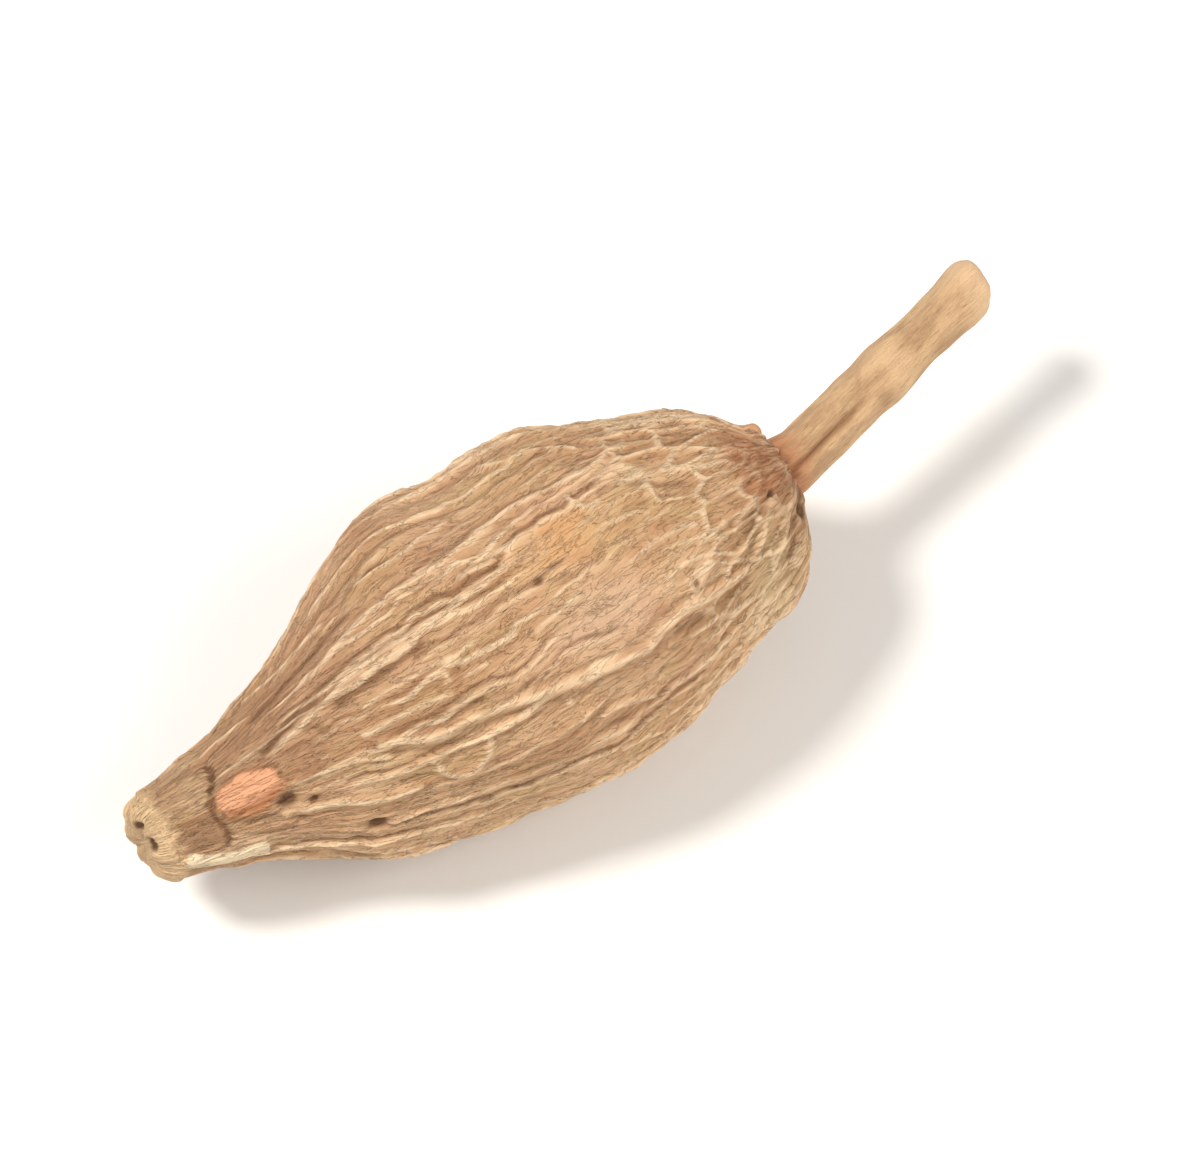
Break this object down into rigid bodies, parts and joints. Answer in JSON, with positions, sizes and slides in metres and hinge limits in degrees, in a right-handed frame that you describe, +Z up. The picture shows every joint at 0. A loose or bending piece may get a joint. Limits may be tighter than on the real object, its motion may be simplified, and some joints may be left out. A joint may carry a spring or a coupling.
{
  "type": "cardamom pod",
  "caption": "Dried large cardamom pod: a ridged tan husk that narrows to a blunt beak at one end, with a short straw-coloured stalk at the other, lying on its side.",
  "frame": {"origin": "on the surface that the pod lies on, under the middle of its box", "axes": "+X along the pod from the beak to the stalk, +Z up from the surface it lies on"},
  "size_m": [0.0546, 0.019, 0.0161],
  "materials": {
    "dried_skin": "matt, dry and papery: tan panels, pale cream ridges, dark brown furrows; the stalk is paler straw"
  },
  "bodies": {
    "root": {"pod": "dried_skin"}
  },
  "joints": []
}
